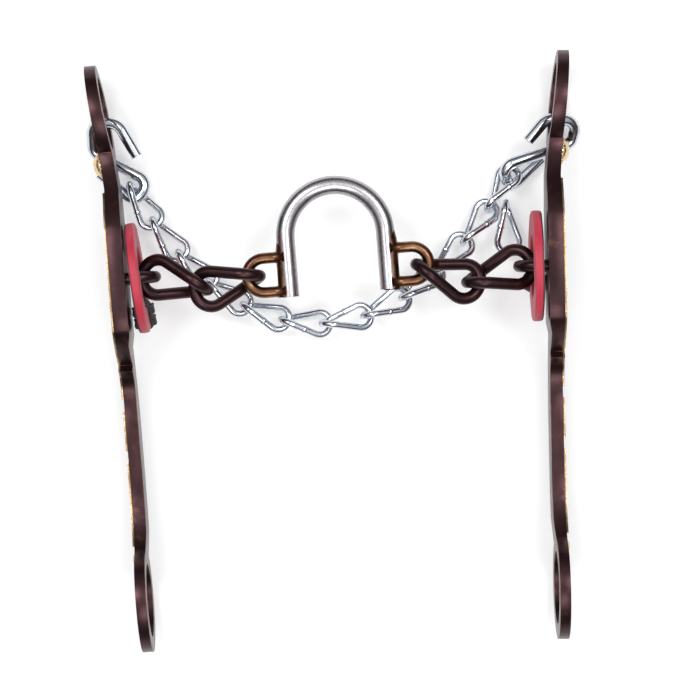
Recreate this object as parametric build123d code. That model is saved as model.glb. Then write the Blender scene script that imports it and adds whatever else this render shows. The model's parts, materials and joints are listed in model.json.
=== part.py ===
from build123d import *
import math
import os

# A ported chain-mouth curb bit with its curb chain, lying flat on a bench: +Y runs towards the
# headstall loops, +X across the horse's mouth, +Z up from the bench. All sizes in millimetres.

# ---- cheeks -------------------------------------------------------------------------------
CHEEK_TOP = 65.0            # from the mouth line up to the top of the headstall loop
CHEEK_BOTTOM = -112.0       # from the mouth line down to the end of the rein ring
CHEEK_THICKNESS = 4.5
MOUTH_HEIGHT = 21.5         # the mouth line above the bench
LOOP_CENTRE = (50.3, 13.5)
LOOP_HALF = (14.7, 13.5)
LOOP_HOLE_HALF = (11.0, 9.0)
RING_CENTRE = (-96.5, 15.5)
RING_RADIUS = 15.5
RING_HOLE_RADIUS = 11.0
FLARE_START = 27.0          # where the loop starts to lean outwards
FLARE_ANGLE = 6.5
LEFT_CHEEK = (-68.7, 21.0, 4.6)     # x, y of the mouth line and lean of the left cheek
RIGHT_CHEEK = (61.0, 25.2, 1.2)

# ---- cheek furniture ------------------------------------------------------------------------
OVERLAY_THICKNESS = 0.6
OVERLAY_INSET = 1.3
OVERLAY_SPANS = {"upper": (-36.0, 26.0), "middle": (-51.5, -39.5), "lower": (-80.0, -55.0)}
UPPER_DOME = (34.4, 17.0, 4.0, 2.4)     # along, height, radius, proud
LOWER_DOME = (-84.6, 7.2, 2.4, 1.7)
STAPLE_WIRE = 3.5
STAPLE_HALF = 5.0
STAPLE_STRAIGHT = 3.4
STAPLE_REACH = CHEEK_THICKNESS / 2 + STAPLE_STRAIGHT + STAPLE_HALF
GUARD_RADIUS = 16.5
GUARD_HOLE_RADIUS = 9.2
GUARD_THICKNESS = 2.8
GUARD_GAP = 1.7
TIE_CORD = 1.3
LEFT_GUARD = (-3.5, 122)    # lean of the guard on its staple, and the turn of its tie from straight up
RIGHT_GUARD = (0, 160)

# ---- mouthpiece -----------------------------------------------------------------------------
MOUTH_WIRE = 3.6
MOUTH_LINK_LENGTH = 20.0    # between the wire centres of the two ends
MOUTH_LINK_CORNER = 7.2     # half the width at the corners that its ends are rounded from
TIP_STRAIGHT = 0.25         # half the straight left at the tip of a link
PORT_ROD = 5.6
PORT_HALF = 14.9
PORT_STRAIGHT = 17.4
PORT_FOOT = (-3.0, 17.0)
PORT_LEAN = 4.6
RING_ROD = 3.3
RING_HALF = 5.1
RING_STRAIGHT = 4.4
RING_UP = 7.0               # from the foot of the port to the middle of its ring
LEFT_INNER_TIP = (-26.85, 22.1)
LEFT_OUTER_TIP = (-42.4, 18.0)
RIGHT_INNER_TIP = (19.7, 25.6)
RIGHT_OUTER_TIP = (34.9, 20.2)

# ---- curb chain and hooks -------------------------------------------------------------------
HALVINGS = 80               # enough for the catenary to converge
CURB_WIRE = 2.1
CURB_LINK_LENGTH = 15.0
CURB_LINK_CORNER = 4.5
CURB_LINKS = 12
CURB_PITCH = 12.65
CURB_HEIGHT = 5.0
CURB_LIFT = 7.8             # the right half rides up by this much to pass over the left half
CURB_END_ROLLS = {11: 8, 12: 20}     # the last links roll to sit square on the right hook
CURB_LEFT_END = (-67.0, 50.3)
CURB_RIGHT_END = (48.4, 53.3)
HOOK_WIRE = 3.5
LEFT_HOOK = [(-64.2, 58.4, 11.0), (-70.4, 69.0, 11.0), (-78.2, 67.8, 8.0), (-78.2, 60.0, 2.6),
             (-60.5, 50.9, 5.0), (-65.6, 44.7, 5.0), (-76.0, 53.6, 5.0)]
LEFT_HOOK_RADII = [4.6, 4.2, 3.4, 3.4, 3.0]
RIGHT_HOOK = [(53.6, 63.0, 12.0), (59.2, 69.8, 11.5), (68.7, 69.4, 8.5), (67.4, 63.0, 4.4),
              (46.2, 55.6, 8.1), (48.6, 49.0, 2.3), (58.4, 58.3, 2.1)]
RIGHT_HOOK_RADII = [4.6, 4.2, 3.0, 3.2, 2.8]
SPARE_LINK_TIP = (47.3, 44.8)
SPARE_LINK_END = (48.2, 31.0)
SPARE_LINK_RISE = 1.2       # above the curb chain


# ---- bent rod -------------------------------------------------------------------------------
def join(pieces):
    whole = pieces[0]
    for piece in pieces[1:]:
        whole = whole + piece
    return whole


def rod_run(start, end, diameter):
    section = Plane(origin=start, z_dir=end - start) * Circle(diameter / 2)
    return extrude(section, amount=(end - start).length)


def rod_bend(start, heading, centre, angle, diameter):
    section = Plane(origin=start, z_dir=heading) * Circle(diameter / 2)
    pivot = Axis(centre, (start - centre).cross(heading))
    return revolve(section, axis=pivot, revolution_arc=angle)


def bent_rod(corners, radii, diameter):
    """A round rod through the corners, with a tangent bend of the given radius at each."""
    corners = [Vector(*corner) for corner in corners]
    pieces = []
    here = corners[0]
    for before, corner, after, radius in zip(corners, corners[1:], corners[2:], radii):
        heading = (corner - before).normalized()
        onward = (after - corner).normalized()
        turn = heading.get_angle(onward)
        trim = radius * math.tan(math.radians(turn / 2))
        start = corner - heading * trim
        centre = start + (onward - heading * heading.dot(onward)).normalized() * radius
        pieces.append(rod_run(here, start, diameter))
        pieces.append(rod_bend(start, heading, centre, turn, diameter))
        here = corner + onward * trim
    pieces.append(rod_run(here, corners[-1], diameter))
    return join(pieces)


def twisted_link(length, corner, diameter):
    """A chain link twisted a quarter turn: its flat end at the origin, its upright end at +X."""
    flat_end = Vector(0, 2 * corner, 0)
    strand = Vector(length, -corner, corner)
    radius = (corner - TIP_STRAIGHT) / math.tan(math.radians(flat_end.get_angle(strand) / 2))
    corners = [(0, 0, 0), (0, corner, 0), (length, 0, corner), (length, 0, -corner), (0, -corner, 0), (0, 0, 0)]
    return bent_rod(corners, [radius] * 4, diameter)


def aim(shape, origin, target, roll=0):
    """Lay a shape with its own X axis from origin to target, its own Z upright, then rolled about X."""
    forward = (Vector(*target) - Vector(*origin)).normalized()
    sideways = Vector(0, 0, 1).cross(forward).normalized()
    return Plane(origin=origin, x_dir=forward, z_dir=forward.cross(sideways)).location * Rot(roll, 0, 0) * shape


# ---- cheeks -------------------------------------------------------------------------------
def side_disc(centre, radii):
    return Plane.YZ * Pos(*centre) * Ellipse(*radii)


def body_outline(inset=0.0):
    """The cheek between its loop and its ring from the side, in YZ: Y along the cheek, Z off the bench."""
    cheek_front = [(39.5, 21.2), (33.0, 21.8), (26.0, 25.2), (14.8, 30.9)]
    boss_front = [(14.8, 30.9), (0.0, 31.7), (-15.4, 31.2)]
    boss_end = [(-15.4, 31.2), (-21.0, 26.0), (-25.6, 17.5)]
    shank_front = [(-27.5, 19.5), (-31.0, 15.6), (-45.0, 14.6), (-62.0, 14.0), (-74.0, 15.8), (-84.0, 23.0)]
    rear = [(-84.0, 6.0), (-74.0, 3.6), (-60.0, 2.4), (-44.0, 2.6), (-30.0, 5.2), (-18.0, 10.2),
            (0.0, 12.0), (16.0, 11.6), (30.0, 11.2), (39.5, 8.4)]
    curves = [Spline(*[(0, along, height - inset) for along, height in run])
              for run in (cheek_front, boss_front, boss_end, shank_front)]
    curves.append(Spline(*[(0, along, height + inset) for along, height in rear]))
    gaps = [Line(one @ 1, other @ 0) for one, other in zip(curves, curves[1:] + curves[:1])
            if (one @ 1 - other @ 0).length > 0.001]
    return make_face(Wire(curves + gaps))


def cheek_outline():
    ring = Plane.YZ * Pos(*RING_CENTRE) * Circle(RING_RADIUS)
    return body_outline() + side_disc(LOOP_CENTRE, LOOP_HALF) + ring


def cheek_holes():
    ring_hole = Plane.YZ * Pos(*RING_CENTRE) * Circle(RING_HOLE_RADIUS)
    return side_disc(LOOP_CENTRE, LOOP_HOLE_HALF) + ring_hole


def through(face, reach):
    return extrude(face, amount=reach, both=True)


def edge_profile():
    """The cheek seen edge-on, in XY: flat outer face, leaning loop, lighter shank and ring."""
    lean = math.tan(math.radians(FLARE_ANGLE))
    half = CHEEK_THICKNESS / 2
    reach = CHEEK_TOP - FLARE_START + 2
    corners = [(half, CHEEK_BOTTOM - 1), (half, FLARE_START), (half + reach * lean - 0.6, CHEEK_TOP + 2),
               (reach * lean - half + 0.6, CHEEK_TOP + 2), (0.2 - half, FLARE_START), (-half, 17), (-half, -17),
               (0.7 - half, -20), (0.7 - half, -76), (1.3 - half, -83), (1.3 - half, CHEEK_BOTTOM - 1)]
    return make_face(Polyline(*corners, close=True))


def cheek():
    plate = through(cheek_outline(), 20) - through(cheek_holes(), 21)
    return plate & extrude(edge_profile(), amount=40)


def overlay(low, high):
    window = Plane.YZ * Pos((low + high) / 2, MOUTH_HEIGHT) * Rectangle(high - low, 60)
    outline = body_outline(OVERLAY_INSET) & window
    return extrude(Pos(CHEEK_THICKNESS / 2, 0, 0) * outline, amount=OVERLAY_THICKNESS)


def dome(along, height, radius, proud, tilt):
    """A spherical rivet head standing on the outer face."""
    sphere_radius = (radius ** 2 + proud ** 2) / (2 * proud)
    cap = Pos(0, 0, proud - sphere_radius) * Sphere(sphere_radius)
    cap = cap & (Pos(0, 0, proud / 2) * Cylinder(radius * 1.1, proud))
    lift = max(0.0, along - FLARE_START) * math.tan(math.radians(tilt))
    return Pos(CHEEK_THICKNESS / 2 + lift, along, height) * Rot(0, 90, 0) * Rot(tilt, 0, 0) * cap


def staple():
    reach = CHEEK_THICKNESS / 2
    tip = reach + STAPLE_STRAIGHT + STAPLE_HALF
    low, high = MOUTH_HEIGHT - STAPLE_HALF, MOUTH_HEIGHT + STAPLE_HALF
    pieces = [rod_bend(Vector(STAPLE_HALF - tip, 0, high), Vector(-1, 0, 0),
                       Vector(STAPLE_HALF - tip, 0, MOUTH_HEIGHT), 180, STAPLE_WIRE)]
    for height in (low, high):
        pieces.append(rod_run(Vector(-reach, 0, height), Vector(STAPLE_HALF - tip, 0, height), STAPLE_WIRE))
    return join(pieces)


def guard(tilt):
    disc = Cylinder(GUARD_RADIUS, GUARD_THICKNESS) - Cylinder(GUARD_HOLE_RADIUS, GUARD_THICKNESS)
    disc = fillet(disc.edges().filter_by(GeomType.CIRCLE).sort_by(SortBy.RADIUS)[-2:], 0.6)
    return Pos(guard_middle(), 0, MOUTH_HEIGHT) * Rot(0, 0, tilt) * Rot(0, 90, 0) * disc


def guard_middle():
    return -(CHEEK_THICKNESS / 2 + GUARD_GAP + GUARD_THICKNESS / 2)


def guard_tie(tilt, turn):
    """A cord loop round the guard's rim, through its hole, at the given turn from straight up."""
    clear = TIE_CORD / 2 + 0.25
    side = GUARD_THICKNESS / 2 + clear
    inner = GUARD_HOLE_RADIUS - clear
    outer = GUARD_RADIUS + clear
    middle = (inner + outer) / 2
    loop = bent_rod([(-side, 0, middle), (-side, 0, outer), (side, 0, outer), (side, 0, inner),
                     (-side, 0, inner), (-side, 0, middle)], [0.9] * 4, TIE_CORD)
    return Pos(guard_middle(), 0, MOUTH_HEIGHT) * Rot(0, 0, tilt) * Rot(turn, 0, 0) * loop


# ---- where everything goes --------------------------------------------------------------------
def cheek_place(x, y, lean):
    return Pos(x, y, 0) * Rot(0, 0, lean)


def mirrored(shape):
    return mirror(shape, about=Plane.YZ)


def at_mouth(point):
    return (*point, MOUTH_HEIGHT)


def step_back(tip, past, distance):
    """The point at the given distance from tip, on the line from tip through past."""
    tip, past = Vector(*tip), Vector(*past)
    return tuple(tip + (past - tip).normalized() * distance)


def hanging_points(start, end, count, spacing):
    """Points a link apart along the catenary of a chain hung from start to end."""
    length = count * spacing
    span, rise = end[0] - start[0], end[1] - start[1]
    low, high = span / 20, span * 20
    for _ in range(HALVINGS):
        size = (low + high) / 2
        if 2 * size * math.sinh(span / (2 * size)) > math.sqrt(length ** 2 - rise ** 2):
            low = size
        else:
            high = size
    bottom = (start[0] + end[0]) / 2 - size * math.atanh(rise / length)
    first = math.sinh((start[0] - bottom) / size)
    points = []
    for index in range(count + 1):
        x = bottom + size * math.asinh(index * spacing / size + first)
        sag = math.cosh((x - bottom) / size) - math.cosh((start[0] - bottom) / size)
        points.append((x, start[1] + size * sag))
    return points


def curb_tips():
    """The wire centre of every curb link's upright end, and of the last link's flat end."""
    path = hanging_points(CURB_LEFT_END, CURB_RIGHT_END, CURB_LINKS, CURB_PITCH)
    half = CURB_LINKS // 2
    tips = []
    for index, (x, y) in enumerate(path):
        rise = 0.0
        if index >= half:
            rise = CURB_LIFT * (CURB_LINKS - index) / (CURB_LINKS - half)
        tips.append((x, y, CURB_HEIGHT + rise))
    return tips


def curb_link_ends(index):
    """The flat end and the upright end of one curb link, counted from the left hook."""
    tips = curb_tips()
    onward = tips[index + 1]
    if index == CURB_LINKS // 2 - 1:
        onward = (*onward[:2], CURB_HEIGHT)
    return step_back(tips[index], onward, CURB_LINK_LENGTH), tips[index]


def left_staple_tip():
    return cheek_place(*LEFT_CHEEK) * Pos(STAPLE_REACH, 0, MOUTH_HEIGHT)


def right_staple_tip():
    return cheek_place(*RIGHT_CHEEK) * Pos(-STAPLE_REACH, 0, MOUTH_HEIGHT)


def mouth_links():
    link = twisted_link(MOUTH_LINK_LENGTH, MOUTH_LINK_CORNER, MOUTH_WIRE)
    left_staple = tuple(left_staple_tip().position)
    right_staple = tuple(right_staple_tip().position)
    laid = {}
    for name, tip, past in (("left_outer_mouth_link", LEFT_OUTER_TIP, left_staple[:2]),
                            ("left_inner_mouth_link", LEFT_INNER_TIP, LEFT_OUTER_TIP),
                            ("right_inner_mouth_link", RIGHT_INNER_TIP, RIGHT_OUTER_TIP),
                            ("right_outer_mouth_link", RIGHT_OUTER_TIP, right_staple[:2])):
        flat_end = step_back(at_mouth(tip), at_mouth(past), MOUTH_LINK_LENGTH)
        laid[name] = aim(link, flat_end, at_mouth(tip))
    return laid


def port():
    """The port arch and its two brazed rings, in place."""
    foot = Pos(*PORT_FOOT, MOUTH_HEIGHT) * Rot(0, 0, PORT_LEAN)
    legs = [rod_run(Vector(side * PORT_HALF, 0, 0), Vector(side * PORT_HALF, PORT_STRAIGHT, 0), PORT_ROD)
            for side in (-1, 1)]
    shoulder = Vector(PORT_HALF, PORT_STRAIGHT, 0)
    crown = rod_bend(shoulder, Vector(0, 1, 0), Vector(0, PORT_STRAIGHT, 0), 180, PORT_ROD)
    arch = join([legs[0], crown, legs[1]])
    rings = {}
    for name, side in (("left_port_ring", -1), ("right_port_ring", 1)):
        root = side * PORT_HALF
        bow = side * (PORT_HALF + PORT_ROD / 2 + RING_STRAIGHT)
        top = Vector(bow, RING_UP + RING_HALF, 0)
        pieces = [rod_bend(top, Vector(side, 0, 0), Vector(bow, RING_UP, 0), 180, RING_ROD)]
        for up in (RING_UP - RING_HALF, RING_UP + RING_HALF):
            pieces.append(rod_run(Vector(root, up, 0), Vector(bow, up, 0), RING_ROD))
        seat = rod_run(Vector(root, -RING_HALF, 0), Vector(root, PORT_STRAIGHT + RING_HALF, 0), PORT_ROD)
        rings[name] = foot * (join(pieces) - seat)
    return {"port_arch": foot * arch, **rings}


def build():
    nodes = {}
    plate = cheek()
    plates = {name: overlay(*span) for name, span in OVERLAY_SPANS.items()}
    for side, place, tilt, turn in (("left", LEFT_CHEEK, *LEFT_GUARD), ("right", RIGHT_CHEEK, *RIGHT_GUARD)):
        furniture = {"cheek": plate, "staple": staple(),
                     "bit_guard": guard(tilt), "guard_tie": guard_tie(tilt, turn),
                     "upper_dome": dome(*UPPER_DOME, FLARE_ANGLE), "lower_dome": dome(*LOWER_DOME, 0)}
        for name, shape in plates.items():
            furniture[name + "_overlay"] = shape
        for name, shape in furniture.items():
            handed = mirrored(shape) if side == "left" else shape
            nodes[side + "_" + name] = cheek_place(*place) * handed
    nodes.update(mouth_links())
    nodes.update(port())
    nodes["left_curb_hook"] = bent_rod(LEFT_HOOK, LEFT_HOOK_RADII, HOOK_WIRE)
    nodes["right_curb_hook"] = bent_rod(RIGHT_HOOK, RIGHT_HOOK_RADII, HOOK_WIRE)
    link = twisted_link(CURB_LINK_LENGTH, CURB_LINK_CORNER, CURB_WIRE)
    for index in range(CURB_LINKS):
        roll = CURB_END_ROLLS.get(index + 1, 0)
        nodes[f"curb_link_{index + 1:02d}"] = aim(link, *curb_link_ends(index), roll)
    height = CURB_HEIGHT + SPARE_LINK_RISE
    tip = (*SPARE_LINK_TIP, height)
    nodes["spare_curb_link"] = aim(link, step_back(tip, (*SPARE_LINK_END, height), CURB_LINK_LENGTH), tip)
    return nodes


def middle_of(nodes):
    """The offset that puts the middle of the whole footprint at the origin."""
    box = Compound(children=[Compound(shape.wrapped) for shape in nodes.values()]).bounding_box()
    return Pos(-(box.min.X + box.max.X) / 2, -(box.min.Y + box.max.Y) / 2, -box.min.Z)


nodes = build()
shift = middle_of(nodes)
os.makedirs("parts", exist_ok=True)
for name, shape in nodes.items():
    export_step(shift * shape, f"parts/{name}.step")
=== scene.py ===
"""Finishing a ported chain-mouth curb bit: browned steel, engraved brass, copper, zinc and red guards."""
import json
import math

import bpy
from mathutils import Matrix, Vector


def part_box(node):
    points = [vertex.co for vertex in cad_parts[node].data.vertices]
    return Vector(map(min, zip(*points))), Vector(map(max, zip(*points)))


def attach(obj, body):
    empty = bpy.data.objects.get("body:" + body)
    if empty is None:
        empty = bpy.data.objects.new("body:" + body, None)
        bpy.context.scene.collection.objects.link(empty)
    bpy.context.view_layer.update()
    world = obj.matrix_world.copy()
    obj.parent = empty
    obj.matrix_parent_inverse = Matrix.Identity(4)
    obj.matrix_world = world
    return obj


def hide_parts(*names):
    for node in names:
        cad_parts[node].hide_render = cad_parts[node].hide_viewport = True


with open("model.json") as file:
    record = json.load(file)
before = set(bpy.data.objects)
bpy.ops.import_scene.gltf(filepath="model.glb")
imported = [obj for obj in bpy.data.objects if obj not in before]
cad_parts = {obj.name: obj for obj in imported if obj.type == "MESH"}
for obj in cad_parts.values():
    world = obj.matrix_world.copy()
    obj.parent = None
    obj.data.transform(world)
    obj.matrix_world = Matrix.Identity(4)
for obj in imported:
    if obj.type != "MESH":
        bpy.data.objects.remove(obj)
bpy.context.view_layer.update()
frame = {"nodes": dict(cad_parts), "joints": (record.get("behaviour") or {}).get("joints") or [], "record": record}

bl_info = {
    "name": "Curb Bit Finisher",
    "version": (1, 0, 0),
    "blender": (4, 5, 0),
    "location": "3D View > Sidebar > Curb Bit",
    "description": "Finishes the packed model of a ported chain-mouth curb bit",
    "category": "Object",
}

MM = 0.001
MOUNTS = {mount["name"]: mount for mount in frame["record"]["mounts"]}
JOINTS = {joint["name"]: joint for joint in frame["joints"]}
BODIES = frame["record"]["behaviour"]["bodies"]
BODY_OF = {node: body for body, nodes in BODIES.items() for node in nodes}
SIDES = ("left", "right")
MATERIALS = {}

MERGE_GAP = 0.002 * MM              # corners this close in a CAD mesh are the same corner
SPUN_MERGE_GAP = 0.005 * MM
FLAT = math.radians(1.0)            # faces that meet at less are one flat face
CORNER = math.radians(40)           # edges that turn by more are bevelled


# ---- sizes and colours --------------------------------------------------------------------------
def length(name, default, description):
    return bpy.props.FloatProperty(name=name, default=default, description=description, min=0.0,
                                   unit="LENGTH", subtype="DISTANCE", precision=5)


def colour(name, default, description):
    return bpy.props.FloatVectorProperty(name=name, default=default, description=description, size=3,
                                         subtype="COLOR", min=0.0, max=1.0)


class BitSizes(bpy.types.PropertyGroup):
    edge_round: length("Edge round", 0.35 * MM, "Rounding of the cheek plates' edges")
    rim_width: length("Overlay rim", 0.7 * MM, "Width of the raised rim round each brass overlay")
    field_depth: length("Field depth", 0.18 * MM, "How far the engraved field lies below the rim")
    scroll_wire: length("Scroll wire", 0.34 * MM, "Radius of the raised scrollwork")
    guard_rim: length("Guard rim", 0.5 * MM, "Rounding of the guards' rims")
    tie_cord: length("Tie cord", 1.25 * MM, "Diameter of the black cord that ties each guard")
    weld_width: length("Weld width", 1.3 * MM, "Length of the butt weld on each curb chain link")
    braze_height: length("Braze fillet", 1.5 * MM, "Height of the brazing at the port rings")


class BitColours(bpy.types.PropertyGroup):
    browned: colour("Browned steel", (0.043, 0.018, 0.0205), "Cheeks, staples and mouth links")
    worn: colour("Worn edge", (0.40, 0.17, 0.08), "Copper-brown wear on the plate edges")
    brass: colour("Brass", (0.74, 0.58, 0.34), "Overlays and domes")
    stainless: colour("Stainless", (0.44, 0.425, 0.445), "Port arch")
    copper: colour("Copper", (0.165, 0.080, 0.042), "Port rings and their brazing")
    zinc: colour("Zinc", (0.60, 0.63, 0.68), "Curb chain and hooks")
    guard: colour("Guard red", (0.47, 0.018, 0.045), "Bit guards")
    # painted shade: this dark red stands in for the guards' outer face lying in shade toward the cheek
    guard_shade_colour: colour("Guard face", (0.055, 0.012, 0.018), "Outer face of the bit guards")
    cord: colour("Cord", (0.012, 0.012, 0.014), "Guard ties")


def sizes():
    return bpy.context.scene.bit_sizes


def colours():
    return bpy.context.scene.bit_colours


# ---- the cheeks' own axes ---------------------------------------------------------------------
class CheekFrame:
    """Places on one cheek: out from its middle plane, along from the mouth line, up off the bench."""

    RING_WALL = 0.65 * MM       # middle of the thinner ring wall, outside the cheek's middle plane
    HALF = 2.25 * MM            # half the plate's thickness

    def __init__(self, side):
        ring = MOUNTS[side + "_rein_ring"]
        self.out = Vector(ring["axis"]).normalized()
        self.along = Vector((-self.out.y, self.out.x, 0.0))
        if self.along.y < 0:
            self.along.negate()
        mouth = Vector(JOINTS[side + "_cheek_swing"]["pos_m"])
        plane = Vector(ring["pos_m"]) - self.out * self.RING_WALL
        self.origin = mouth + self.out * (plane - mouth).dot(self.out)
        self.origin.z = 0.0

    def point(self, out, along, up):
        return self.origin + self.out * out + self.along * along + Vector((0.0, 0.0, up))

    def matrix(self, out, along, up):
        """A frame there whose Z points outwards and whose X runs along the cheek."""
        up_axis = self.out.cross(self.along)
        turn = Matrix((self.along, up_axis, self.out)).transposed().to_4x4()
        return Matrix.Translation(self.point(out, along, up)) @ turn


# ---- modelling helpers ---------------------------------------------------------------------------
def deselect():
    if bpy.context.object and bpy.context.object.mode != "OBJECT":
        bpy.ops.object.mode_set(mode="OBJECT")
    bpy.ops.object.select_all(action="DESELECT")


def activate(obj):
    deselect()
    obj.select_set(True)
    bpy.context.view_layer.objects.active = obj


def settle(obj):
    """Put the object's place into its mesh, so that the object itself stands at the origin."""
    activate(obj)
    bpy.ops.object.transform_apply(location=True, rotation=True, scale=True)


def place(obj, matrix):
    obj.matrix_world = matrix @ obj.matrix_world
    settle(obj)


def apply_modifiers(obj):
    activate(obj)
    for modifier in list(obj.modifiers):
        bpy.ops.object.modifier_apply(modifier=modifier.name)


def name_piece(obj, name, material, node, replaced=()):
    """Name a piece, give it its finish, and let it ride with the node it belongs to."""
    obj.name = name
    obj.data.name = name
    obj.data.materials.clear()
    obj.data.materials.append(MATERIALS[material])
    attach(obj, BODY_OF[node])
    if replaced:
        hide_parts(*replaced)


def copy_node(node):
    """A merged copy of a CAD node, with its triangles joined back into flat faces."""
    source = frame["nodes"][node]
    obj = bpy.data.objects.new(node + "_copy", source.data.copy())
    bpy.context.scene.collection.objects.link(obj)
    activate(obj)
    bpy.ops.object.mode_set(mode="EDIT")
    bpy.ops.mesh.select_all(action="SELECT")
    bpy.ops.mesh.remove_doubles(threshold=MERGE_GAP)
    bpy.ops.mesh.dissolve_limited(angle_limit=FLAT, delimit={"NORMAL"})
    bpy.ops.object.mode_set(mode="OBJECT")
    if "custom_normal" in obj.data.attributes:
        obj.data.attributes.remove(obj.data.attributes["custom_normal"])
    return obj


def join_pieces(pieces):
    activate(pieces[0])
    for piece in pieces:
        piece.select_set(True)
    bpy.ops.object.join()
    return bpy.context.object


def wire(points, radius, closed=False, sides=3, girths=None):
    """A round wire along the points, as a mesh, thicker or thinner by its girths."""
    deselect()
    bpy.ops.curve.primitive_nurbs_path_add(location=(0, 0, 0))
    obj = bpy.context.object
    obj.data.splines.clear()
    spline = obj.data.splines.new("NURBS")
    spline.points.add(len(points) - 1)
    for index, (control, point) in enumerate(zip(spline.points, points)):
        control.co = (*point, 1.0)
        control.radius = girths[index] if girths else 1.0
    spline.use_cyclic_u = closed
    spline.order_u = 3
    spline.use_endpoint_u = not closed
    spline.resolution_u = 6
    obj.data.dimensions = "3D"
    obj.data.bevel_depth = radius
    obj.data.bevel_resolution = sides
    obj.data.use_fill_caps = not closed
    activate(obj)
    bpy.ops.object.convert(target="MESH")
    obj = bpy.context.object
    bpy.ops.object.shade_smooth()
    return obj


def spun(section, steps):
    """A closed section, as (reach, level) pairs, spun once round the Z axis."""
    deselect()
    bpy.ops.mesh.primitive_circle_add(vertices=len(section), radius=1.0, location=(0, 0, 0))
    obj = bpy.context.object
    for vertex, (reach, level) in zip(obj.data.vertices, section):
        vertex.co = (reach, 0.0, level)
    bpy.ops.object.mode_set(mode="EDIT")
    bpy.ops.mesh.select_all(action="SELECT")
    bpy.ops.mesh.spin(steps=steps, angle=math.tau, center=(0, 0, 0), axis=(0, 0, 1))
    bpy.ops.mesh.select_all(action="SELECT")
    bpy.ops.mesh.remove_doubles(threshold=SPUN_MERGE_GAP)
    bpy.ops.mesh.normals_make_consistent(inside=False)
    bpy.ops.object.mode_set(mode="OBJECT")
    return obj


# ---- materials -------------------------------------------------------------------------------
class Finish:
    """A Principled material built up a node at a time, reading Object coordinates."""

    def __init__(self, name, base, metallic, roughness):
        self.material = bpy.data.materials.new(name)
        self.material.use_nodes = True
        self.tree = self.material.node_tree
        self.shader = self.tree.nodes["Principled BSDF"]
        self.shader.inputs["Base Color"].default_value = (*base, 1)
        self.shader.inputs["Metallic"].default_value = metallic
        self.shader.inputs["Roughness"].default_value = roughness
        self.place = self.tree.nodes.new("ShaderNodeTexCoord").outputs["Object"]

    def node(self, kind, **settings):
        node = self.tree.nodes.new(kind)
        for key, value in settings.items():
            setattr(node, key, value)
        return node

    def link(self, source, target):
        self.tree.links.new(source, target)

    def stretch(self, scale):
        node = self.node("ShaderNodeMapping")
        node.inputs["Scale"].default_value = scale
        self.link(self.place, node.inputs["Vector"])
        return node.outputs["Vector"]

    def noise(self, scale, detail=4.0, rough=0.55, vector=None):
        node = self.node("ShaderNodeTexNoise")
        node.inputs["Scale"].default_value = scale
        node.inputs["Detail"].default_value = detail
        node.inputs["Roughness"].default_value = rough
        self.link(vector or self.place, node.inputs["Vector"])
        return node.outputs["Fac"]

    def cells(self, scale, feature="F1"):
        node = self.node("ShaderNodeTexVoronoi", feature=feature)
        node.inputs["Scale"].default_value = scale
        self.link(self.place, node.inputs["Vector"])
        return node.outputs["Distance"]

    def ramp(self, source, *stops):
        node = self.node("ShaderNodeValToRGB")
        elements = node.color_ramp.elements
        while len(elements) < len(stops):
            elements.new(0.5)
        for element, (position, value) in zip(elements, stops):
            element.position = position
            element.color = (*value, 1) if isinstance(value, tuple) else (value, value, value, 1)
        self.link(source, node.inputs["Fac"])
        return node.outputs["Color"]

    def mix(self, factor, first, second, blend="MIX"):
        node = self.node("ShaderNodeMix", data_type="RGBA", blend_type=blend)
        for socket, value in ((node.inputs[0], factor), (node.inputs[6], first), (node.inputs[7], second)):
            if isinstance(value, (int, float)):
                socket.default_value = value
            elif isinstance(value, tuple):
                socket.default_value = (*value, 1)
            else:
                self.link(value, socket)
        return node.outputs[2]

    def scaled(self, source, low, high):
        node = self.node("ShaderNodeMapRange")
        node.inputs["To Min"].default_value = low
        node.inputs["To Max"].default_value = high
        self.link(source, node.inputs["Value"])
        return node.outputs["Result"]

    def paint(self, source):
        self.link(source, self.shader.inputs["Base Color"])

    def gloss(self, source, low, high):
        self.link(self.scaled(source, low, high), self.shader.inputs["Roughness"])

    def emboss(self, source, strength, distance):
        node = self.node("ShaderNodeBump")
        node.inputs["Strength"].default_value = strength
        node.inputs["Distance"].default_value = distance
        self.link(source, node.inputs["Height"])
        self.link(node.outputs["Normal"], self.shader.inputs["Normal"])


def browned_steel():
    """Dark browned steel with plum and rust clouding and a fine satin tooth."""
    base = tuple(colours().browned)
    finish = Finish("browned_steel", base, 0.82, 0.34)
    cloud = finish.noise(70, 5)
    plum = tuple(c * f for c, f in zip(base, (1.25, 1.2, 1.22)))
    dark = tuple(c * 0.6 for c in base)
    mottled = finish.ramp(cloud, (0.32, dark), (0.52, base), (0.72, plum))
    rust = finish.ramp(finish.noise(210, 6, 0.62), (0.60, 0.0), (0.76, 0.5))
    finish.paint(finish.mix(rust, mottled, tuple(c * 0.45 for c in colours().worn)))
    finish.gloss(finish.noise(420, 3), 0.22, 0.42)
    finish.emboss(finish.noise(1500, 3, 0.6), 0.22, 0.06 * MM)
    return finish.material


def worn_edge():
    """Browned edge of the plates, rubbed through to copper-brown in places."""
    base = tuple(colours().browned)
    finish = Finish("worn_edge", base, 0.9, 0.30)
    rub = finish.noise(130, 6, 0.65)
    bare = (0.62, 0.36, 0.2)
    finish.paint(finish.ramp(rub, (0.43, base), (0.54, tuple(colours().worn)), (0.76, bare)))
    finish.gloss(finish.noise(600, 3), 0.22, 0.42)
    return finish.material


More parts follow.
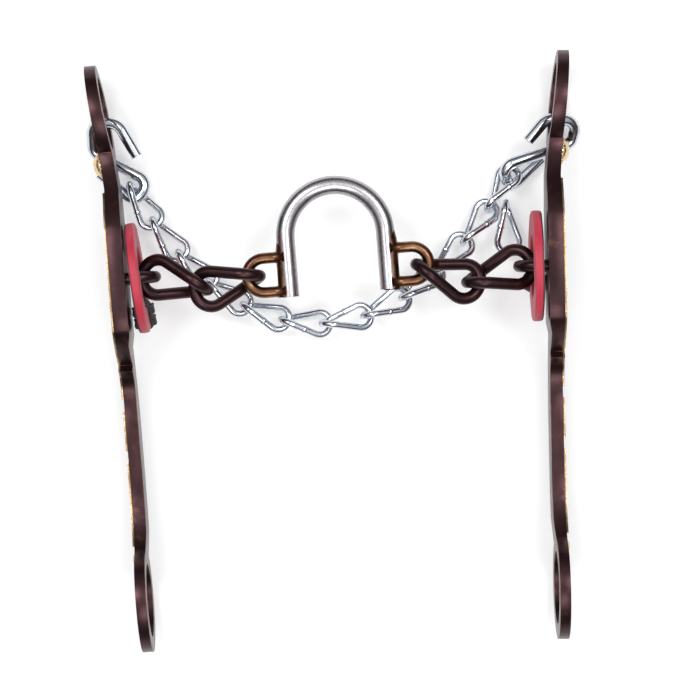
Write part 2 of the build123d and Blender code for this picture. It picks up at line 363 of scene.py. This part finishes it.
def engraved_brass():
    """Satin brass with a dark patina in the recesses of a fine engraved ground."""
    finish = Finish("engraved_brass", tuple(colours().brass), 1.0, 0.30)
    ground = finish.cells(1300, "DISTANCE_TO_EDGE")
    cuts = finish.ramp(ground, (0.0, 0.0), (0.10, 1.0))
    tarnish = finish.noise(240, 5, 0.6)
    dull, warm, clear = (0.34, 0.225, 0.105), (0.52, 0.385, 0.205), (0.68, 0.54, 0.32)
    patina = (0.16, 0.09, 0.045)
    finish.paint(finish.mix(cuts, patina, finish.ramp(tarnish, (0.30, dull), (0.55, warm), (0.80, clear))))
    finish.gloss(tarnish, 0.22, 0.42)
    finish.emboss(cuts, 0.3, 0.06 * MM)
    return finish.material


def raised_brass():
    """Brighter brass where hands and leather have polished the high scrolls."""
    finish = Finish("raised_brass", tuple(colours().brass), 1.0, 0.24)
    rub = finish.noise(320, 5, 0.6)
    dull, bright = (0.60, 0.41, 0.19), (0.93, 0.80, 0.52)
    finish.paint(finish.ramp(rub, (0.30, dull), (0.60, tuple(colours().brass)), (0.85, bright)))
    finish.gloss(rub, 0.18, 0.36)
    finish.emboss(finish.noise(1700, 2), 0.15, 0.04 * MM)
    return finish.material


def polished_stainless():
    """Polished stainless rod with drawing lines and a little heat tint."""
    finish = Finish("polished_stainless", tuple(colours().stainless), 1.0, 0.27)
    tint = finish.noise(55, 3)
    warm, cool = (0.36, 0.335, 0.35), (0.54, 0.54, 0.59)
    finish.paint(finish.ramp(tint, (0.30, warm), (0.55, tuple(colours().stainless)), (0.80, cool)))
    lines = finish.noise(900, 3, 0.6, finish.stretch((1.0, 0.12, 1.0)))
    finish.gloss(lines, 0.20, 0.34)
    finish.emboss(lines, 0.10, 0.03 * MM)
    return finish.material


def brazed_copper():
    """Heat-darkened copper brazing, pale gold where it is rubbed."""
    base = tuple(colours().copper)
    finish = Finish("brazed_copper", base, 1.0, 0.30)
    heat = finish.noise(150, 5, 0.6)
    burnt, gold = (0.070, 0.026, 0.018), (0.36, 0.22, 0.125)
    finish.paint(finish.ramp(heat, (0.30, burnt), (0.50, base), (0.78, gold)))
    finish.gloss(finish.noise(500, 3), 0.20, 0.40)
    finish.emboss(finish.noise(700, 4), 0.25, 0.06 * MM)
    return finish.material


def bright_zinc():
    """Bright zinc plate with a faint blue and straw passivation and draw marks."""
    base = tuple(colours().zinc)
    finish = Finish("bright_zinc", base, 1.0, 0.16)
    tint = finish.noise(190, 4, 0.6)
    blue, pale, straw = (0.48, 0.53, 0.62), (0.68, 0.69, 0.70), (0.62, 0.57, 0.56)
    finish.paint(finish.ramp(tint, (0.28, blue), (0.50, base), (0.70, pale), (0.86, straw)))
    pits = finish.noise(1100, 4, 0.65)
    finish.gloss(pits, 0.09, 0.27)
    finish.emboss(pits, 0.22, 0.05 * MM)
    return finish.material


def guard_red():
    """Soft red rubber with a fibrous, slightly streaked cut edge."""
    base = tuple(colours().guard)
    finish = Finish("guard_red", base, 0.0, 0.55)
    finish.shader.inputs["Sheen Weight"].default_value = 0.08
    fibre = finish.noise(700, 5, 0.7, finish.stretch((1.0, 0.10, 0.35)))
    deep, pale = tuple(c * 0.78 for c in base), (0.54, 0.032, 0.066)
    finish.paint(finish.ramp(fibre, (0.28, deep), (0.52, base), (0.76, pale)))
    finish.gloss(fibre, 0.42, 0.66)
    finish.emboss(finish.noise(1600, 4, 0.7), 0.35, 0.10 * MM)
    return finish.material


def guard_painted_shade():
    """Painted shade on the outer face of the guards: dark and lightly grained, as that face lies in shade toward
    the cheek.
    """
    base = tuple(colours().guard_shade_colour)
    finish = Finish("guard_painted_shade", base, 0.0, 0.5)
    grain = finish.cells(900)
    finish.paint(finish.mix(finish.noise(120, 4), base, tuple(c * 1.9 for c in base)))
    finish.gloss(grain, 0.40, 0.62)
    finish.emboss(grain, 0.4, 0.10 * MM)
    return finish.material


def tie_lace():
    """Black waxed cord with a tight lay."""
    base = tuple(colours().cord)
    finish = Finish("tie_lace", base, 0.0, 0.46)
    finish.shader.inputs["Sheen Weight"].default_value = 0.08
    strands = finish.node("ShaderNodeTexWave", wave_type="BANDS", bands_direction="DIAGONAL")
    strands.inputs["Scale"].default_value = 620
    strands.inputs["Distortion"].default_value = 1.4
    finish.link(finish.place, strands.inputs["Vector"])
    finish.paint(finish.mix(strands.outputs["Fac"], base, (0.045, 0.043, 0.05)))
    finish.gloss(finish.noise(800, 3), 0.35, 0.6)
    finish.emboss(strands.outputs["Fac"], 0.6, 0.12 * MM)
    return finish.material


class BIT_OT_finishes(bpy.types.Operator):
    """Make every finish, and put the metal finishes on the carried-over nodes"""
    bl_idname = "bit.finishes"
    bl_label = "Metal Finishes"

    def execute(self, context):
        for maker in (browned_steel, worn_edge, engraved_brass, raised_brass, polished_stainless,
                      brazed_copper, bright_zinc, guard_red, guard_painted_shade, tie_lace):
            MATERIALS[maker.__name__] = maker()
        by_slot = {"cheek_steel": "browned_steel", "mouth_steel": "browned_steel",
                   "engraved_brass": "engraved_brass", "port_steel": "polished_stainless",
                   "copper_ring": "brazed_copper", "zinc_chain": "bright_zinc",
                   "guard_rubber": "guard_red", "tie_cord": "tie_lace"}
        for subpart in frame["record"]["subparts"]:
            obj = frame["nodes"][subpart["node"]]
            for slot in obj.material_slots:
                slot.material = MATERIALS[by_slot[subpart["material_slot"]]]
        return {"FINISHED"}


# ---- cheeks ----------------------------------------------------------------------------------
class BIT_OT_cheeks(bpy.types.Operator):
    """Round the edges of both cheek plates and let their copper-brown wear show there"""
    bl_idname = "bit.cheeks"
    bl_label = "Cheek Plates"

    def execute(self, context):
        for side in SIDES:
            node = side + "_cheek"
            obj = copy_node(node)
            name_piece(obj, node + "_plate", "browned_steel", node, replaced=(node,))
            obj.data.materials.append(MATERIALS["worn_edge"])
            bevel = obj.modifiers.new("edge round", "BEVEL")
            bevel.width = sizes().edge_round
            bevel.segments = 3
            bevel.limit_method = "ANGLE"
            bevel.angle_limit = CORNER
            bevel.material = 1
            bevel.use_clamp_overlap = True
            apply_modifiers(obj)
            bpy.ops.object.shade_smooth_by_angle(angle=math.radians(32))
        return {"FINISHED"}


# ---- brass overlays ---------------------------------------------------------------------------
def spiral(turns, size, start_turn, hand, count):
    """Points of a scroll that winds in from size to a fifth of it."""
    points = []
    for index in range(count):
        part = index / (count - 1)
        angle = start_turn + hand * part * turns * math.tau
        reach = size * (1.0 - 0.82 * part)
        points.append(Vector((reach * math.cos(angle), reach * math.sin(angle), 0.0)))
    return points


def scroll(centre, size, turn, hand):
    """One raised leaf scroll lying in the XY plane, with a bead at its heart and two leaf strokes."""
    radius = sizes().scroll_wire
    winding = [centre + point for point in spiral(1.35, size, turn, hand, 18)]
    taper = [1.25 - 0.7 * index / len(winding) for index in range(len(winding))]
    pieces = [wire(winding, radius, girths=taper)]
    for spread in (0.55, 1.15):
        lead = turn - hand * spread
        base = centre + Vector((math.cos(turn), math.sin(turn), 0)) * size
        middle = centre + Vector((math.cos(lead), math.sin(lead), 0)) * size * 1.22
        curl = lead - hand * 0.5
        tip = centre + Vector((math.cos(curl), math.sin(curl), 0)) * size * (1.18 + 0.2 * spread)
        pieces.append(wire([base, (base + middle) / 2, middle, tip], radius, girths=[0.5, 1.2, 1.0, 0.25]))
    deselect()
    bpy.ops.mesh.primitive_uv_sphere_add(segments=12, ring_count=8, radius=radius * 2.2, location=centre)
    bead = bpy.context.object
    bead.scale.z = 0.6
    settle(bead)
    bpy.ops.object.shade_smooth()
    return join_pieces(pieces + [bead])


# along, height and size of each scroll, and the way it winds, in millimetres on the cheek
SCROLLS = (
    (22.0, 19.0, 2.6, 1), (16.0, 22.0, 3.6, -1), (8.6, 19.0, 4.0, 1), (8.6, 27.2, 2.3, -1),
    (0.6, 23.6, 4.3, -1), (-7.6, 19.6, 3.9, 1), (-8.2, 27.0, 2.2, -1), (-15.2, 20.6, 3.7, -1),
    (-22.0, 16.0, 3.2, 1), (-28.6, 10.8, 2.7, -1), (-34.0, 9.0, 1.5, 1), (-42.4, 8.6, 2.4, -1),
    (-48.2, 8.4, 2.4, 1), (-58.6, 8.2, 2.5, -1), (-64.4, 8.2, 2.6, 1), (-70.4, 8.8, 2.7, -1),
    (-76.4, 10.4, 2.8, 1))


class BIT_OT_overlays(bpy.types.Operator):
    """Sink a field inside each brass overlay's rim and raise scrollwork in it"""
    bl_idname = "bit.overlays"
    bl_label = "Engraved Overlays"

    THICKNESS = 0.6 * MM
    WALL = 0.12 * MM            # how far the field's walls lean in
    SOFT_RIM = 0.1 * MM

    def execute(self, context):
        for side in SIDES:
            cheek = CheekFrame(side)
            for part in ("upper", "middle", "lower"):
                self.rimmed_plate(f"{side}_{part}_overlay", cheek)
            self.scrolls(side, cheek)
        return {"FINISHED"}

    def rimmed_plate(self, node, cheek):
        obj = copy_node(node)
        bpy.ops.object.mode_set(mode="EDIT")
        bpy.ops.mesh.select_all(action="DESELECT")
        bpy.ops.object.mode_set(mode="OBJECT")
        for face in obj.data.polygons:
            face.select = face.normal.dot(cheek.out) > 0.9
        bpy.ops.object.mode_set(mode="EDIT")
        bpy.ops.mesh.select_mode(type="FACE")
        bpy.ops.mesh.inset(thickness=sizes().rim_width)
        bpy.ops.mesh.inset(thickness=self.WALL, depth=-sizes().field_depth)
        bpy.ops.object.mode_set(mode="OBJECT")
        name_piece(obj, node + "_plate", "engraved_brass", node, replaced=(node,))
        bevel = obj.modifiers.new("soft rim", "BEVEL")
        bevel.width = self.SOFT_RIM
        bevel.segments = 2
        bevel.limit_method = "ANGLE"
        bevel.angle_limit = CORNER
        apply_modifiers(obj)
        bpy.ops.object.shade_smooth_by_angle(angle=math.radians(30))

    def scrolls(self, side, cheek):
        face = CheekFrame.HALF + self.THICKNESS - sizes().field_depth
        pieces = []
        for index, (along, up, size, hand) in enumerate(SCROLLS):
            turn = math.pi * (0.5 + index % 2) + 0.35 * hand
            pieces.append(scroll(Vector((along * MM, up * MM, 0)), size * MM, turn, hand))
        obj = join_pieces(pieces)
        hand = 1 if cheek.out.cross(cheek.along).z > 0 else -1
        obj.scale = (1, hand, 1)
        settle(obj)
        if hand < 0:
            bpy.ops.object.mode_set(mode="EDIT")
            bpy.ops.mesh.select_all(action="SELECT")
            bpy.ops.mesh.flip_normals()
            bpy.ops.object.mode_set(mode="OBJECT")
        place(obj, cheek.matrix(face, 0, 0))
        name_piece(obj, side + "_scrollwork", "raised_brass", side + "_cheek")


class BIT_OT_domes(bpy.types.Operator):
    """Turn a beaded collar and petals on each brass dome"""
    bl_idname = "bit.domes"
    bl_label = "Brass Domes"

    UPPER_LEAN = 6.5            # degrees the headstall end of a cheek leans outwards
    PETALS = 8
    CAP_REACH, CAP_RISE = 0.86, 0.94
    BEAD_REACH, BEAD_SIZE = 0.90, 0.10

    def execute(self, context):
        for side in SIDES:
            cheek = CheekFrame(side)
            for part, lean, beads in (("upper", self.UPPER_LEAN, 18), ("lower", 0.0, 12)):
                self.dome(side, f"{side}_{part}_dome", cheek, math.radians(lean), beads)
        return {"FINISHED"}

    def dome(self, side, node, cheek, lean, beads):
        low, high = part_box(node)
        centre = (low + high) / 2
        radius = (high.z - low.z) / 2
        outward = (cheek.out * math.cos(lean) - cheek.along * math.sin(lean)).normalized()
        corners = [vertex.co.dot(outward) for vertex in frame["nodes"][node].data.vertices]
        proud = max(corners) - min(corners)
        deselect()
        bpy.ops.mesh.primitive_uv_sphere_add(segments=48, ring_count=24, radius=1.0, location=(0, 0, 0))
        obj = bpy.context.object
        bpy.ops.object.mode_set(mode="EDIT")
        bpy.ops.mesh.select_all(action="SELECT")
        bpy.ops.mesh.bisect(plane_co=(0, 0, 0), plane_no=(0, 0, 1), clear_inner=True, use_fill=True)
        bpy.ops.object.mode_set(mode="OBJECT")
        for vertex in obj.data.vertices:
            spot = vertex.co
            round_about = math.atan2(spot.y, spot.x)
            reach = math.hypot(spot.x, spot.y)
            fade = math.sin(math.pi * min(1.0, reach)) * (reach < 0.98)
            spot.z *= 1.0 + 0.06 * math.cos(self.PETALS * round_about) * fade
            spot.x *= radius * self.CAP_REACH
            spot.y *= radius * self.CAP_REACH
            spot.z *= proud * self.CAP_RISE
        bpy.ops.object.shade_smooth_by_angle(angle=math.radians(50))
        pieces = [obj]
        for index in range(beads):
            angle = math.tau * index / beads
            reach = radius * self.BEAD_REACH
            spot = (reach * math.cos(angle), reach * math.sin(angle), radius * 0.06)
            deselect()
            bpy.ops.mesh.primitive_uv_sphere_add(segments=10, ring_count=6, radius=radius * self.BEAD_SIZE,
                                                 location=spot)
            settle(bpy.context.object)
            bpy.ops.object.shade_smooth()
            pieces.append(bpy.context.object)
        obj = join_pieces(pieces)
        base = centre - outward * (centre.dot(outward) - min(corners))
        turn = outward.to_track_quat("Z", "Y").to_matrix().to_4x4()
        place(obj, Matrix.Translation(base) @ turn)
        name_piece(obj, node + "_cap", "raised_brass", node, replaced=(node,))


# ---- bit guards ---------------------------------------------------------------------------------
class BIT_OT_guards(bpy.types.Operator):
    """Turn each red guard with its rounded rim and its outer face painted dark as shade"""
    bl_idname = "bit.guards"
    bl_label = "Bit Guards"

    HALF = 1.4 * MM             # half the guard's thickness
    HOLE = 9.2 * MM             # its hole's radius
    SHADE_LAYER = 0.45 * MM         # thickness of the outer layer painted dark as shade

    def execute(self, context):
        for side in SIDES:
            cheek = CheekFrame(side)
            node = side + "_bit_guard"
            outward = guard_axis(node, cheek)
            centre = box_middle(node)
            low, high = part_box(node)
            outer = (high.z - low.z) / 2
            obj = self.disc(outer)
            turn = outward.to_track_quat("Z", "Y").to_matrix().to_4x4()
            place(obj, Matrix.Translation(centre) @ turn)
            name_piece(obj, node + "_disc", "guard_red", node, replaced=(node,))
            obj.data.materials.append(MATERIALS["guard_painted_shade"])
            # faces of the outer layer take the painted shade of the guard's face toward the cheek
            for face in obj.data.polygons:
                beyond = (face.center - centre).dot(outward) > self.HALF - self.SHADE_LAYER
                face.material_index = 1 if beyond else 0
        return {"FINISHED"}

    def disc(self, outer):
        """A ring spun from its section: a thick red layer, and a thin layer behind a groove, which takes the
        painted shade.
        """
        soft, half, hole = sizes().guard_rim, self.HALF, self.HOLE
        seam = half - self.SHADE_LAYER
        section = [(hole, -half + soft), (hole + 0.3 * soft, -half + 0.3 * soft), (hole + soft, -half),
                   ((hole + outer) / 2, -half * 0.94), (outer - soft, -half),
                   (outer - 0.3 * soft, -half + 0.3 * soft), (outer, -half + soft),
                   (outer + 0.05 * MM, 0.0), (outer, seam - 0.12 * MM), (outer - 0.16 * MM, seam),
                   (outer - 0.10 * MM, seam + 0.10 * MM),
                   (outer - 0.14 * MM, half - 0.12 * MM), (outer - 0.3 * MM, half),
                   ((hole + outer) / 2, half * 0.96), (hole + 0.3 * MM, half),
                   (hole + 0.14 * MM, half - 0.12 * MM), (hole + 0.16 * MM, seam), (hole, seam - 0.12 * MM)]
        obj = spun(section, 96)
        for vertex in obj.data.vertices:
            angle = math.atan2(vertex.co.y, vertex.co.x)
            ripple = 0.08 * MM * math.sin(3 * angle + 0.6) + 0.04 * MM * math.sin(7 * angle)
            vertex.co.z += ripple * math.hypot(vertex.co.x, vertex.co.y) / outer
        bpy.ops.object.shade_smooth_by_angle(angle=math.radians(40))
        return obj


def guard_axis(node, cheek):
    """The guard's own axis, outwards, from its widest flat face."""
    widest = max(frame["nodes"][node].data.polygons, key=lambda face: face.area)
    return widest.normal.normalized() * (1 if widest.normal.dot(cheek.out) > 0 else -1)


class BIT_OT_ties(bpy.types.Operator):
    """Wind the black lace that ties each guard, with its small knots"""
    bl_idname = "bit.ties"
    bl_label = "Guard Ties"

    def execute(self, context):
        for side in SIDES:
            self.tie(side, CheekFrame(side))
        return {"FINISHED"}

    def tie(self, side, cheek):
        guard_node, node = side + "_bit_guard", side + "_guard_tie"
        low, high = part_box(guard_node)
        centre, across = box_middle(guard_node), guard_axis(guard_node, cheek)
        spoke = box_middle(node) - centre
        spoke = (spoke - across * spoke.dot(across)).normalized()
        aside = across.cross(spoke)
        radius = sizes().tie_cord / 2
        outer = (high.z - low.z) / 2 + radius * 0.9
        inner = BIT_OT_guards.HOLE - radius
        half = BIT_OT_guards.HALF + radius * 0.85
        waist, bend = (outer + inner) / 2, 0.8 * MM
        pieces = []
        for turn, drift in ((-0.95, 0.35), (0.0, -0.25), (1.0, 0.2)):
            loop = []
            for reach, level in ((outer, -0.6), (outer, 0.6), (outer - bend, 1.0), (waist, 1.05),
                                 (inner + bend, 1.0), (inner, 0.6), (inner, -0.6), (inner + bend, -1.0),
                                 (waist, -1.05), (outer - bend, -1.0)):
                slide = aside * (turn + drift * (reach - waist) / (outer - waist) * level) * MM
                loop.append(centre + spoke * reach + across * half * level + slide)
            pieces.append(wire(loop, radius, closed=True))
        for level, shift in ((-1.0, 2.0), (1.0, 2.6), (1.0, -1.4), (-1.0, -2.0)):
            heart = centre + spoke * (waist + shift * MM) + across * level * (half + radius * 0.9)
            pieces.append(self.knot(heart, spoke, aside, across, radius * 0.85))
        name_piece(join_pieces(pieces), node + "_lace", "tie_lace", node, replaced=(node,))

    def knot(self, heart, spoke, aside, across, radius):
        """A small tight trefoil knot."""
        size = 0.50 * MM
        points = []
        for step in range(24):
            turn = step * math.tau / 24
            points.append(heart + spoke * size * (math.sin(turn) + 2 * math.sin(2 * turn))
                          + aside * size * (math.cos(turn) - 2 * math.cos(2 * turn))
                          - across * size * 0.9 * math.sin(3 * turn))
        return wire(points, radius, closed=True)


# ---- brazing and welds ----------------------------------------------------------------------------
def rods_cut(node, point, normal):
    """Centres of the two rods that a plane cuts through a node."""
    mesh = frame["nodes"][node].data
    cuts = []
    for edge in mesh.edges:
        first, second = (mesh.vertices[index].co for index in edge.vertices)
        ahead, behind = (first - point).dot(normal), (second - point).dot(normal)
        if ahead * behind < 0:
            cuts.append(first.lerp(second, ahead / (ahead - behind)))
    far = max(cuts, key=lambda cut: (cut - point).length)
    opposite = max(cuts, key=lambda cut: (cut - far).length)
    groups = ([], [])
    for cut in cuts:
        groups[(cut - far).length > (cut - opposite).length].append(cut)
    return [middle_of(group) for group in groups]


def middle_of(points):
    low = Vector([min(point[axis] for point in points) for axis in range(3)])
    high = Vector([max(point[axis] for point in points) for axis in range(3)])
    return (low + high) / 2


def box_middle(node):
    low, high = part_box(node)
    return (low + high) / 2


class PortFrame:
    """The port's own directions and the middles of its two legs beside the rings."""

    def __init__(self):
        left, right = box_middle("left_port_ring"), box_middle("right_port_ring")
        self.across = (right - left).normalized()
        self.ahead = Vector((-self.across.y, self.across.x, 0.0))
        legs = rods_cut("port_arch", (left + right) / 2, self.ahead)
        self.legs = sorted(legs, key=lambda leg: leg.x)


class BIT_OT_brazing(bpy.types.Operator):
    """Run a copper fillet round each leg of the port rings where it meets the rod"""
    bl_idname = "bit.brazing"
    bl_label = "Port Brazing"

    LEG_RADIUS = 2.8 * MM
    ROD_RADIUS = 1.65 * MM
    CUT_BEYOND = 1.5 * MM       # where the ring's rods are looked for, beyond the leg's side
    FOOT_SHY = 0.03 * MM        # the brazing stops this far short of the leg's foot

    def execute(self, context):
        port = PortFrame()
        for side, hand, leg in (("left", -1, port.legs[0]), ("right", 1, port.legs[1])):
            node = side + "_port_ring"
            outward = port.across * hand
            rods = rods_cut(node, leg + outward * (self.LEG_RADIUS + self.CUT_BEYOND), outward)
            pieces = []
            for rod in rods:
                root = rod + outward * (leg - rod).dot(outward)
                obj = self.fillet()
                turn = outward.to_track_quat("Z", "Y").to_matrix().to_4x4()
                place(obj, Matrix.Translation(root) @ turn)
                pieces.append(obj)
            level = sum(port.ahead.dot(rod - leg) for rod in rods) / len(rods)
            pieces.append(self.web(leg, outward, port.ahead, level))
            obj = join_pieces(pieces)
            self.trim_at_foot(obj, port.ahead)
            name_piece(obj, side + "_port_brazing", "brazed_copper", node)
        return {"FINISHED"}

    def trim_at_foot(self, obj, ahead):
        """Cut the brazing off level with the foot of the port's legs."""
        foot = min(vertex.co.dot(ahead) for vertex in frame["nodes"]["port_arch"].data.vertices)
        bpy.ops.object.mode_set(mode="EDIT")
        bpy.ops.mesh.select_all(action="SELECT")
        bpy.ops.mesh.bisect(plane_co=ahead * (foot + self.FOOT_SHY), plane_no=ahead, clear_inner=True,
                            use_fill=True)
        bpy.ops.object.mode_set(mode="OBJECT")

    def web(self, leg, outward, ahead, level):
        """The brazing run down the leg between the ring's two rods, sinking into the leg above them."""
        points, girths = [], []
        for along, proud, girth in ((-7.6, 0.78, 1.0), (-4.0, 0.82, 1.0), (0.0, 0.74, 1.0), (4.0, 0.86, 1.0),
                                    (7.0, 0.80, 1.0), (9.0, 0.50, 0.98), (11.5, 0.08, 0.94)):
            points.append(leg + ahead * (level + along * MM) + outward * proud * MM)
            girths.append(girth)
        return wire(points, self.LEG_RADIUS - 0.28 * MM, sides=8, girths=girths)

    def fillet(self):
        """A flared collar standing along +Z from the middle of the leg."""
        leg, rod, rise = self.LEG_RADIUS, self.ROD_RADIUS, sizes().braze_height
        section = [(0.0, 0.30 * leg)]
        for step in range(8):
            part = step / 7
            reach = rod + rise * (1 - part) ** 2.2 - 0.02 * MM * part
            section.append((reach, 0.34 * leg + (leg * 0.66 + rise * 1.2) * part))
        obj = spun(section, 40)
        bpy.ops.object.shade_smooth_by_angle(angle=math.radians(50))
        return obj


class BIT_OT_welds(bpy.types.Operator):
    """Leave the small butt weld on one strand of every curb chain link"""
    bl_idname = "bit.welds"
    bl_label = "Chain Welds"

    WIRE_RADIUS = 1.05 * MM

    def execute(self, context):
        links = [f"curb_{number:02d}" for number in range(1, 13)] + ["spare_link"]
        for number, body in enumerate(links):
            node = BODIES[body][0]
            joint = next(joint for joint in frame["joints"] if joint["child"] == body)
            middle = box_middle(node)
            along = (middle - Vector(joint["pos_m"])).normalized()
            here = rods_cut(node, middle, along)
            ahead = rods_cut(node, middle + along * 0.6 * MM, along)
            strand = max(here, key=lambda spot: spot.z if number % 3 else -spot.x)
            partner = min(ahead, key=lambda spot: (spot - strand).length)
            self.bead(node, strand, (partner - strand).normalized())
        return {"FINISHED"}

    def bead(self, node, spot, along):
        deselect()
        bpy.ops.mesh.primitive_uv_sphere_add(segments=24, ring_count=16, radius=1.0, location=(0, 0, 0))
        obj = bpy.context.object
        obj.scale = (self.WIRE_RADIUS * 1.14, self.WIRE_RADIUS * 1.10, sizes().weld_width)
        settle(obj)
        bpy.ops.object.shade_smooth()
        place(obj, Matrix.Translation(spot) @ along.to_track_quat("Z", "Y").to_matrix().to_4x4())
        name_piece(obj, node + "_weld", "bright_zinc", node)


# ---- stage -----------------------------------------------------------------------------------
class BIT_OT_stage(bpy.types.Operator):
    """Lay a pale floor, hang soft studio lights and set the camera over the bit"""
    bl_idname = "bit.stage"
    bl_label = "Stage"

    CAMERA = (5.06 * MM, 0.25 * MM, 0.900)
    LENS = 151.5
    FLOOR_SIZE = 6.0
    FLOOR_DROP = 0.5 * MM
    FLOOR_GLOW = 0.42           # keeps the shadows on the floor faint
    LAMPS = (("left_light", (-0.52, 0.36, 1.30), 7.5, 0.5), ("right_light", (0.52, 0.30, 1.30), 6.5, 0.5),
             ("near_light", (0.05, -0.62, 1.30), 6.5, 0.6))
    # place from straight down to straight up, and brightness there
    SKY = ((0.0, 0.9), (0.48, 0.04), (0.66, 0.05), (0.76, 0.22), (0.84, 0.60), (1.0, 0.66))

    def execute(self, context):
        scene = context.scene
        deselect()
        bpy.ops.mesh.primitive_plane_add(size=self.FLOOR_SIZE, location=(0, 0, -self.FLOOR_DROP))
        floor = context.object
        floor.name = "pale_floor"
        finish = Finish("pale_floor", (0.62, 0.62, 0.623), 0.0, 0.8)
        finish.shader.inputs["Emission Color"].default_value = (1.0, 1.0, 1.0, 1)
        finish.shader.inputs["Emission Strength"].default_value = self.FLOOR_GLOW
        finish.shader.inputs["Specular IOR Level"].default_value = 0.1
        floor.data.materials.append(finish.material)
        self.world(scene)
        for name, spot, energy, size in self.LAMPS:
            self.light(name, Vector(spot), energy, size)
        bpy.ops.object.camera_add(location=self.CAMERA, rotation=(0, 0, 0))
        camera = context.object
        camera.data.lens = self.LENS
        camera.data.clip_start = 0.01
        scene.camera = camera
        scene.view_settings.view_transform = "Standard"
        return {"FINISHED"}

    def light(self, name, spot, energy, size):
        aim = (-spot).to_track_quat("-Z", "Y").to_euler()
        bpy.ops.object.light_add(type="AREA", location=spot, rotation=aim)
        lamp = bpy.context.object
        lamp.name = name
        lamp.data.energy = energy
        lamp.data.size = size

    def world(self, scene):
        """A bright room overhead with a darker band round the horizon, so round wire keeps its form."""
        world = scene.world or bpy.data.worlds.new("studio")
        scene.world = world
        world.use_nodes = True
        tree = world.node_tree
        background = tree.nodes["Background"]
        coordinates = tree.nodes.new("ShaderNodeTexCoord")
        split = tree.nodes.new("ShaderNodeSeparateXYZ")
        ramp = tree.nodes.new("ShaderNodeValToRGB")
        spread = tree.nodes.new("ShaderNodeMapRange")
        spread.inputs["From Min"].default_value = -1.0
        tree.links.new(coordinates.outputs["Generated"], split.inputs["Vector"])
        tree.links.new(split.outputs["Z"], spread.inputs["Value"])
        tree.links.new(spread.outputs["Result"], ramp.inputs["Fac"])
        while len(ramp.color_ramp.elements) < len(self.SKY):
            ramp.color_ramp.elements.new(0.5)
        for element, (position, value) in zip(ramp.color_ramp.elements, self.SKY):
            element.position = position
            element.color = (value, value, value * 1.02, 1)
        tree.links.new(ramp.outputs["Color"], background.inputs["Color"])


# ---- panel -------------------------------------------------------------------------------------
PIECES = (BIT_OT_finishes, BIT_OT_cheeks, BIT_OT_overlays, BIT_OT_domes, BIT_OT_guards, BIT_OT_ties,
          BIT_OT_brazing, BIT_OT_welds, BIT_OT_stage)


class BIT_PT_panel(bpy.types.Panel):
    bl_label = "Curb Bit"
    bl_space_type = "VIEW_3D"
    bl_region_type = "UI"
    bl_category = "Curb Bit"

    def draw(self, context):
        for group in (context.scene.bit_sizes, context.scene.bit_colours):
            for key in group.__annotations__:
                self.layout.prop(group, key)
        for piece in PIECES:
            self.layout.operator(piece.bl_idname)


CLASSES = (BitSizes, BitColours, *PIECES, BIT_PT_panel)


def register():
    for cls in CLASSES:
        bpy.utils.register_class(cls)
    bpy.types.Scene.bit_sizes = bpy.props.PointerProperty(type=BitSizes)
    bpy.types.Scene.bit_colours = bpy.props.PointerProperty(type=BitColours)


def unregister():
    del bpy.types.Scene.bit_sizes
    del bpy.types.Scene.bit_colours
    for cls in reversed(CLASSES):
        bpy.utils.unregister_class(cls)


def main():
    register()
    for piece in PIECES:
        group, call = piece.bl_idname.split(".")
        getattr(getattr(bpy.ops, group), call)()


if __name__ == "__main__":
    main()
